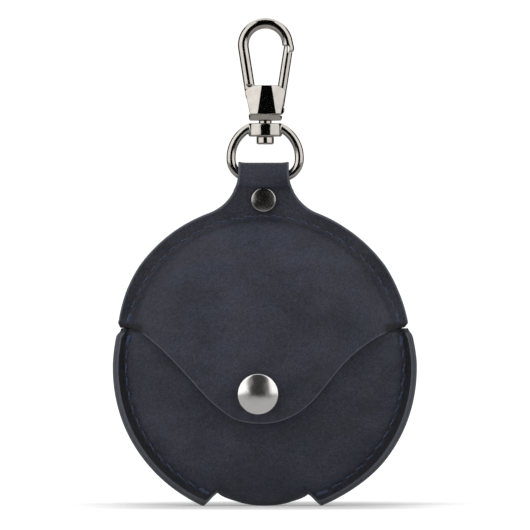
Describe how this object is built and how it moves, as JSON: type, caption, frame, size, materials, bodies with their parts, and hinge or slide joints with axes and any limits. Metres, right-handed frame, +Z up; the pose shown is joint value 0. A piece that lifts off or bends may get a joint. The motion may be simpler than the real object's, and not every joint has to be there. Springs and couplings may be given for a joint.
{
  "type": "earbuds case pouch",
  "caption": "Round sewn leather carry pouch for a wireless-earbuds charging case, with a snap tongue and a swivel snap hook on a ring.",
  "frame": {"origin": "inner crown of the snap hook, where the pouch hangs from a ring, strap or belt loop", "axes": "+Z up along the hanging length, front with the snap faces -Y, +X to the viewer's right"},
  "size_m": [0.0882, 0.0313, 0.1414],
  "materials": {
    "leather_navy": "oiled nubuck, fine horizontal grain, burnished cut edges",
    "thread_blue": "waxed sewing thread",
    "gunmetal": "polished black nickel on cast zinc",
    "spring_steel": "drawn wire",
    "nickel_cap": "satin nickel, slightly tarnished",
    "rivet_dark": "dark nickel, pressed steel"
  },
  "bodies": {
    "hook": {"hook_body": "gunmetal", "swivel_stud": "gunmetal", "gate_pin": "gunmetal", "gate_spring": "spring_steel"},
    "gate": {"gate": "gunmetal"},
    "eye": {"swivel_eye": "gunmetal"},
    "cap": {"cap_front_panel": "leather_navy", "tongue_root": "leather_navy", "hanger_loop": "leather_navy", "cap_back_panel": "leather_navy", "cap_seam_thread": "thread_blue", "rivet_front": "rivet_dark", "rivet_back": "rivet_dark"},
    "flap": {"flap_tongue": "leather_navy", "snap_cap": "nickel_cap", "snap_socket": "nickel_cap", "snap_spring": "spring_steel"},
    "pocket": {"pocket_front_panel": "leather_navy", "pocket_back_panel": "leather_navy", "bottom_fold": "leather_navy", "pocket_seam_thread_left": "thread_blue", "pocket_seam_thread_right": "thread_blue", "snap_stud": "nickel_cap", "snap_post": "nickel_cap"}
  },
  "joints": [
    {"name": "swivel", "type": "hinge", "parent": "hook", "child": "eye", "pos_m": [0, 0, -0.0295], "axis": [0, 0, 1], "continuous": true},
    {"name": "gate_pivot", "type": "hinge", "parent": "hook", "child": "gate", "pos_m": [0.0039, 0, -0.0236], "axis": [0, -1, 0], "range_deg": [0, 25], "stiffness_Nm_per_rad": 0.03, "springref_deg": -14.32, "deforming": ["gate_spring"]},
    {"name": "ring_swing", "type": "hinge", "parent": "eye", "child": "cap", "pos_m": [0, 0, -0.04315], "axis": [1, 0, 0], "range_deg": [-85, 85]},
    {"name": "cap_open", "type": "hinge", "parent": "cap", "child": "pocket", "pos_m": [0, 0.0145, -0.0869], "axis": [1, 0, 0], "range_deg": [0, 110]},
    {"name": "flap_lift", "type": "hinge", "parent": "cap", "child": "flap", "pos_m": [0, -0.01395, -0.0939], "axis": [-1, 0, 0], "range_deg": [0, 70]}
  ]
}
